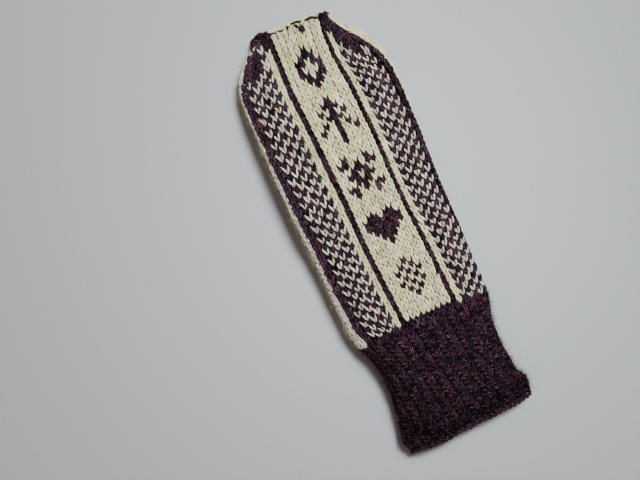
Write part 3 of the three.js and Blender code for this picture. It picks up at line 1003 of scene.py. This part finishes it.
def knit_thumb():
    """Rounds in a fine check that narrow at the tip, and the wall behind them."""
    yarns = {"cream": Yarn(6), "dark": Yarn(6)}
    for row, count in enumerate(THUMB_ROUNDS):
        half_step = 0.5 * (row % 2) * (count < THUMB_STITCHES)
        shares = (np.arange(count) + half_step) / count
        along = np.full(count, THUMB_START + row * THUMB_PITCH)
        width = thumb_surface.girth(along + THUMB_WIDTH_AT * THUMB_PITCH) / count
        centre, _ = thumb_surface.at(along + 0.5 * THUMB_PITCH, shares)
        keep = ~inside_hand(centre)
        if not keep.any():
            continue
        colours = np.where((np.arange(count) + row) % 2, "cream", "dark")[keep]
        add_stitches(
            yarns, colours, thumb_surface, shares[keep][:, None], along[keep],
            np.full(count, THUMB_PITCH)[keep], np.minimum(width, WIDEST_THUMB_STITCH)[keep],
        )
    wall(
        "thumb_lining", "lining", "thumb", thumb_rings, (BACKING_INSET, THUMB_WALL),
        np.concatenate([np.linspace(-2, 58, 22), np.linspace(60, 77.5, 10)]), around=60,
        is_open=partial(inside_hand, depth=THUMB_LINING_COVER), shade=thumb_shade,
    )
    for colour, yarn in yarns.items():
        yarn.finish(f"thumb_{colour}", colour, "thumb")


def rope(yarn, centres, outward, radius, half, turns):
    """Two strands twisted about a line of points that runs across the mitten."""
    count = len(centres)
    for strand in (0, 1):
        turn = FULL_TURN * (turns * np.arange(count) / (count - 1) + strand / 2)
        offset = outward * np.cos(turn)[:, None] + TIPWARD * np.sin(turn)[:, None]
        yarn.strand(centres + offset * radius, outward, half, np.zeros(1))


def make_cast_on_edge():
    """The cast-on chain: a two-strand rope round the mouth, half a turn for each column."""
    yarn = Yarn(7)
    steps = CUFF_STITCHES * EDGE_STEPS
    shares = np.arange(steps + 1) / steps
    points, normals = cuff_surface.at(np.full(steps + 1, MOUTH_Y), shares)
    centres = points - normals * EDGE_IN - TIPWARD * EDGE_PAST
    centres[:, 1] += waver(shares * MOUTH_WAVER_LENGTH, shares, *MOUTH_WAVER)
    rope(yarn, centres, normals, EDGE_RADIUS, EDGE_HALF, CUFF_STITCHES / 2)
    yarn.finish("cast_on_edge_yarn", "dark", "cast_on_edge")


def make_tip_seam():
    """The closed edge of the tip: a ridge, dark at its left end, with dark yarn showing on it."""
    cream, dark = Yarn(7), Yarn(6)
    ends = (SEAM_LEFT + RIDGE_INSET, DARK_RIDGE_END, SEAM_RIGHT - RIDGE_INSET)
    for yarn, start, end in (dark, *ends[:2]), (cream, *ends[1:]):
        x = np.linspace(start, end, int((end - start) * RIDGE_STEPS))
        bow = RIDGE_BOW * np.sin(math.pi * (x - SEAM_LEFT) / (SEAM_RIGHT - SEAM_LEFT))
        y = SEAM_Y - TIP_SLOPE * x + RIDGE_RAISE[0] + bow
        centres = np.stack([x, y, np.full(len(x), SEAM_Z + RIDGE_RAISE[1])], axis=-1)
        rope(yarn, centres, UPWARD, RIDGE_RADIUS, RIDGE_HALF, (end - start) / RIDGE_TURN_LENGTH)
    for half, points in SEAM_THREADS:
        points = np.array(points)
        share = np.linspace(0, len(points) - 1, THREAD_STEPS * len(points))
        x, y = (np.interp(share, np.arange(len(points)), values) for values in points.T)
        sunk_ends = (2 * share / share[-1] - 1) ** 4
        thread = np.stack([x, y, hand_height(x, y) + 0.5 * half - sunk_ends], axis=-1)
        dark.strand(thread, UPWARD, half, rng.normal(0, 1, 1))
    cream.finish("tip_seam_ridge", "cream", "tip_seam")
    dark.finish("tip_seam_thread", "dark", "tip_seam")


def hand_height(x, y):
    """About how high the yarn of the back stands near the tip, or the ridge beyond it."""
    s = hand_surface
    back = s.grid[:, : s.AROUND // 2].reshape(-1, 3)
    heights = []
    for place in np.stack([x, y], axis=-1):
        near = np.linalg.norm(back[:, :2] - place, axis=1) < HEIGHT_REACH
        on_back = near.any()
        heights.append(
            back[near, 2].max() + YARN_ABOVE_FORM if on_back else SEAM_Z + RIDGE_ABOVE_SEAM
        )
    return np.array(heights)


def make_knots():
    """Small tufts of yarn ends: a few tight loops and a loose end."""
    for name, (place, end_length, end_way, apart) in KNOTS.items():
        yarn = Yarn(6)
        middle = np.array([*place, SEAM_Z + KNOT_RAISE])
        u = np.linspace(0, 1, KNOT_STEPS)
        for loop in range(KNOT_LOOPS):
            start = rng.uniform(0, FULL_TURN)
            turn = (start + u * rng.uniform(*LOOP_TURN))[:, None]
            tip = rng.normal(0, 0.5, 3)
            wide_way = np.array([1.0, 0.25 * tip[0], 0.5 * tip[1]]) * LOOP_WIDE
            tall_way = np.array([0.2 * tip[2], 0.8, 0.45]) * LOOP_TALL
            path = middle + np.cos(turn) * wide_way + np.sin(turn) * tall_way
            path += rng.normal(0, LOOP_SHIFT, 3)
            off = loop - KNOT_LOOPS // 2
            path[:, 0] += apart * off
            path[:, 1] -= LOOP_DROP * apart * abs(off)
            yarn.strand(path, path - middle + 1e-3, LOOP_HALF, rng.normal(0, 1, 1))
        way = np.array(end_way) / np.linalg.norm(end_way)
        bend = np.outer(np.sin(u * END_CURL), [0.5, 0.0, 0.6])
        path = middle + np.outer(u, way) * end_length + bend
        half = END_HALF - END_TAPER * u ** 2
        yarn.strand(path, np.array([0.3, 0.1, 1.0]), half, rng.normal(0, 1, 1))
        yarn.finish(f"{name}_yarn", "dark", name)


def fibres(yarn, surface, count, along, lengths, lift, around, half):
    """Loose curling fibres that stand off the yarn."""
    a = rng.uniform(*along, count)
    root, normal = surface.at(a, rng.uniform(*around, count))
    way = normal * rng.uniform(*FIBRE_UPRIGHT, (count, 1)) * lift
    way = unit(way + rng.normal(0, FIBRE_LEAN, (count, 3)))[:, None]
    bend = rng.normal(0, FIBRE_BEND, (count, 1, 3))
    curl = rng.normal(0, FIBRE_CURL, (count, 1, 3))
    length = rng.uniform(*lengths, (count, 1))[:, None]
    u = np.linspace(0, 1, FIBRE_STEPS)[None, :, None]
    start = root[:, None] + normal[:, None] * FIBRE_START
    path = start + length * (u * way + u ** 2 * bend + u ** 3 * curl)
    path[..., 2] = np.minimum(path[..., 2], FIBRE_TOP)
    size = np.broadcast_to(half * (1 - 0.5 * u[..., 0]), path.shape[:2])
    normals = np.broadcast_to(normal[:, None] + 0.01, path.shape)
    yarn.add(path, normals, size, size, np.zeros(count))


def make_fuzz():
    yarns = {"cream": Yarn(3, loose=True), "dark": Yarn(3, loose=True)}
    surfaces = {"hand": hand_surface, "cuff": cuff_surface, "thumb": thumb_surface}
    for colour, surface, *rest in FIBRES:
        fibres(yarns[colour], surfaces[surface], *rest)
    yarns["cream"].finish("hand_fibres", "cream", "hand")
    yarns["dark"].finish("cuff_fibres", "dark", "cuff")


knit_hand()
knit_cuff()
knit_thumb()
make_cast_on_edge()
make_tip_seam()
make_knots()
make_fuzz()


class Nodes:
    """Short calls for building a material's nodes."""

    def __init__(self, name):
        self.material = bpy.data.materials.new(name)
        self.material.use_nodes = True
        self.tree = self.material.node_tree
        self.shader = self.tree.nodes["Principled BSDF"]

    def feed(self, node, inputs):
        for key, value in inputs.items():
            if isinstance(value, bpy.types.NodeSocket):
                self.tree.links.new(value, node.inputs[key])
            else:
                node.inputs[key].default_value = value

    def add(self, kind, inputs, output=0, **settings):
        """One output of a new node."""
        node = self.tree.nodes.new(kind)
        for key, value in settings.items():
            setattr(node, key, value)
        self.feed(node, inputs)
        return node.outputs[output]

    def attribute(self, name, output):
        return self.add("ShaderNodeAttribute", {}, output, attribute_name=name)

    def math(self, operation, *values):
        return self.add("ShaderNodeMath", dict(enumerate(values)), operation=operation)

    def mix(self, factor, a, b, blend="MIX"):
        inputs = {0: factor, 6: a, 7: b}
        return self.add("ShaderNodeMix", inputs, 2, data_type="RGBA", blend_type=blend)

    def step(self, value, low, high):
        inputs = {"Value": value, "From Min": low, "From Max": high}
        return self.add("ShaderNodeMapRange", inputs, interpolation_type="SMOOTHSTEP")

    def noise(self, vector, stretch, detail, rough, shift=(0, 0, 0)):
        place = {"Vector": vector, "Scale": stretch, "Location": shift}
        inputs = {"Vector": self.add("ShaderNodeMapping", place), "Scale": 1.0}
        return self.add("ShaderNodeTexNoise", {**inputs, "Detail": detail, "Roughness": rough})

    def bump(self, height, strength, distance):
        inputs = {"Height": height, "Strength": strength, "Distance": distance}
        return self.add("ShaderNodeBump", inputs)

    def finish(self, inputs):
        self.feed(self.shader, inputs)
        return self.material


# Wool's look: plies and their twist in mm, and how noises stretch along, across and up
PLIES = 3
PLY_PITCH = 5.2
STITCH_HUE = 0.025
STREAK_STRETCH = (0.45, 2.6, 2.6)
SLOW_STRETCH = (0.16, 0.0, 0.0)
FLECK_STRETCH = (0.42, 1.5, 1.5)
FIBRE_STRETCH = (1.3, 5.5, 5.5)
BLEND_RANGE = (0.39, 0.63)
FIBRE_RANGE = (0.3, 0.7)
# Painted shade on each yarn's lower side fades out between these heights over the yarn's centre, in mm
LIT_SIDE = (-0.35, 0.65)


def yarn_material(
    name, base, other, flecks, tone_depth, painted_groove_shade, painted_side_shade, grain, gloss, slow_part,
):
    """Plied wool: heathered flecks along the yarn, twisted plies and loose fibres, with painted shade
    in the ply grooves and on each yarn's lower side.
    """
    n = Nodes(name)
    yarn, tone = n.attribute("yarn", "Vector"), n.attribute("tone", "Fac")
    along, across, up = n.add("ShaderNodeSeparateXYZ", {"Vector": yarn}).node.outputs
    turn = n.math("MULTIPLY", along, FULL_TURN / PLY_PITCH)
    twisted = n.math("MULTIPLY", n.math("ADD", n.math("ARCTAN2", up, across), turn), PLIES)
    ply = n.math("MULTIPLY_ADD", n.math("SINE", twisted), 0.5, 0.5)
    wound = n.add("ShaderNodeVectorRotate", {"Vector": yarn, "Angle": turn}, rotation_type="X_AXIS")

    streaks = n.noise(wound, STREAK_STRETCH, 3.0, 0.6)
    slow = n.noise(yarn, SLOW_STRETCH, 1.0, 0.5)
    blend = n.math("MULTIPLY", streaks, 1 - slow_part)
    blend = n.math("MULTIPLY_ADD", tone, STITCH_HUE, blend)
    blend = n.math("MULTIPLY_ADD", slow, slow_part, blend)
    colour = n.mix(n.step(blend, *BLEND_RANGE), (*base, 1), (*other, 1))
    for k, (fleck, low, high) in enumerate(flecks):
        spots = n.noise(wound, FLECK_STRETCH, 2.0, 0.55, shift=(37.0 * (k + 1), 5.0, 9.0))
        colour = n.mix(n.step(spots, low, high), colour, (*fleck, 1))

    hairs = n.noise(yarn, FIBRE_STRETCH, 2.0, 0.6)
    # tone holds random differences between stitches and, on the cuff, painted shade towards the mouth
    shade = n.math("MULTIPLY_ADD", tone, tone_depth, 1.0)
    # Painted shade: the grooves between the plies are darker
    groove_shade = n.math("MULTIPLY_ADD", ply, painted_groove_shade, 1.0 - painted_groove_shade)
    # Painted shade: each yarn is darker on its lower side
    side = n.math("MULTIPLY_ADD", n.step(up, *LIT_SIDE), painted_side_shade, 1.0 - painted_side_shade)
    strands = n.math("MULTIPLY_ADD", n.step(hairs, *FIBRE_RANGE), grain, 1.0 - 0.5 * grain)
    both = n.math("MULTIPLY", n.math("MULTIPLY", shade, groove_shade), n.math("MULTIPLY", side, strands))
    grey = n.add("ShaderNodeCombineColor", {0: both, 1: both, 2: both})
    height = n.math("ADD", n.math("MULTIPLY", ply, 0.6), n.math("MULTIPLY", hairs, 0.6))
    return n.finish({
        "Base Color": n.mix(1.0, colour, grey, "MULTIPLY"),
        "Normal": n.bump(height, strength=0.7, distance=0.00025),
        "Roughness": 0.92, "Specular IOR Level": gloss,
        "Sheen Weight": gloss, "Sheen Roughness": 0.5,
    })


light_wool = {"painted_groove_shade": 0.3, "painted_side_shade": 0.42, "grain": 0.45, "gloss": 0.12, "slow_part": 0.45}
cream_wool = yarn_material(
    "cream_wool", (0.66, 0.60, 0.30), (0.87, 0.82, 0.56), [((0.54, 0.45, 0.20), 0.60, 0.76)],
    tone_depth=0.07, **light_wool,
)
checks_wool = yarn_material(
    "checks_wool", (0.60, 0.56, 0.42), (0.80, 0.78, 0.64), [((0.50, 0.42, 0.28), 0.60, 0.76)],
    tone_depth=0.08, **light_wool,
)
dark_wool = yarn_material(
    "dark_wool", (0.007, 0.008, 0.015), (0.056, 0.027, 0.042),
    [((0.200, 0.038, 0.055), 0.53, 0.68), ((0.106, 0.101, 0.152), 0.54, 0.70)],
    tone_depth=0.2, painted_groove_shade=0.8, painted_side_shade=0.85, grain=0.7, gloss=0.0, slow_part=0.3,
)


def painted_shade_lining_material():
    """The inside of the fabric, seen in the gaps between stitches: the colour of the yarn in front of
    it, darkened as painted shade.
    """
    n = Nodes("fabric_inside_painted_shade")
    grain = n.noise(n.attribute("yarn", "Vector"), (0.9, 2.2, 2.2), 3.0, 0.6)
    # Painted shade: darker copies of the cream and the dark yarn, for the gaps between stitches
    light = n.mix(n.step(grain, 0.35, 0.65), (0.26, 0.22, 0.13, 1), (0.42, 0.36, 0.23, 1))
    dark = n.mix(n.step(grain, 0.4, 0.6), (0.002, 0.002, 0.002, 1), (0.006, 0.004, 0.005, 1))
    return n.finish({
        "Base Color": n.mix(n.step(n.attribute("shade", "Fac"), 0.3, 0.7), light, dark),
        "Normal": n.bump(grain, strength=0.6, distance=0.0003),
        "Roughness": 0.95, "Specular IOR Level": 0.0,
    })


painted_shade_lining_wool = painted_shade_lining_material()
MATERIALS = {
    "cream": (cream_wool, "cream_wool"), "cream_checks": (checks_wool, "cream_wool"),
    "dark": (dark_wool, "dark_wool"),
    "lining": (painted_shade_lining_wool, "cream_wool"), "lining_dark": (painted_shade_lining_wool, "dark_wool"),
}
for obj, colour, node in pieces:
    material, slot = MATERIALS[colour]
    obj.data.materials.append(material)
    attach(obj, "root")
    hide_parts(node)

# Floor
bpy.ops.mesh.primitive_plane_add(size=4, location=(0, 0, 0))
floor = bpy.context.object
floor.name = "floor"
floor_colour = (0.405, 0.425, 0.435, 1)
floor.data.materials.append(Nodes("floor").finish({"Base Color": floor_colour, "Roughness": 0.9}))

# Camera, straight above the mitten and turned as in the photograph
PHOTO_TURN = math.radians(24)
PHOTO_CENTRE = Vector((-0.0377, 0.0079, 0.012))
CAMERA_DISTANCE = 0.549
LENS, SENSOR_WIDTH = 50, 36
right = Vector((math.cos(PHOTO_TURN), -math.sin(PHOTO_TURN), 0))
up = Vector((math.sin(PHOTO_TURN), math.cos(PHOTO_TURN), 0))
camera_data = bpy.data.cameras.new("camera")
camera_data.lens = LENS
camera_data.sensor_width = SENSOR_WIDTH
camera = bpy.data.objects.new("camera", camera_data)
camera.location = PHOTO_CENTRE + Vector((0, 0, CAMERA_DISTANCE))
camera.rotation_euler = Matrix((right, up, right.cross(up))).transposed().to_euler()
bpy.context.scene.collection.objects.link(camera)
bpy.context.scene.camera = camera


def area_light(name, aim, place, across, length, power, colour, spread):
    """A soft oval light. place is right, up and height from what it aims at, in the picture."""
    data = bpy.data.lights.new(name, "AREA")
    data.shape = "ELLIPSE"
    data.size = across
    data.size_y = length
    data.energy = power
    data.color = colour
    data.spread = math.radians(spread)
    light = bpy.data.objects.new(name, data)
    light.location = aim + right * place[0] + up * place[1] + Vector((0, 0, place[2]))
    back = (light.location - aim).normalized()
    side = Vector((0, 1, 0)).cross(back).normalized()
    light.rotation_euler = Matrix((side, back.cross(side), back)).transposed().to_euler()
    bpy.context.scene.collection.objects.link(light)


# Name, what it aims at, place from there, size across and along, watts, colour and spread
MITTEN = Vector((0, 0, 0.012))
LIGHTS = (
    ("window", MITTEN, (0.2, 0.4, 1.03), 0.26, 0.26, 17.0, (0.93, 0.985, 1.0), 180),
    ("lamp", MITTEN, (0.11, 0.14, 0.38), 0.08, 0.3, 0.19, (0.95, 0.99, 1.0), 60),
    ("fill", PHOTO_CENTRE, (-0.3, -0.1, 0.6), 0.4, 0.4, 0.35, (1.0, 0.82, 0.74), 180),
)
for light in LIGHTS:
    area_light(*light)

world = bpy.data.worlds.new("world")
bpy.context.scene.world = world
world.use_nodes = True
background = world.node_tree.nodes["Background"]
background.inputs["Color"].default_value = (1.0, 0.76, 0.68, 1)
background.inputs["Strength"].default_value = 0.19
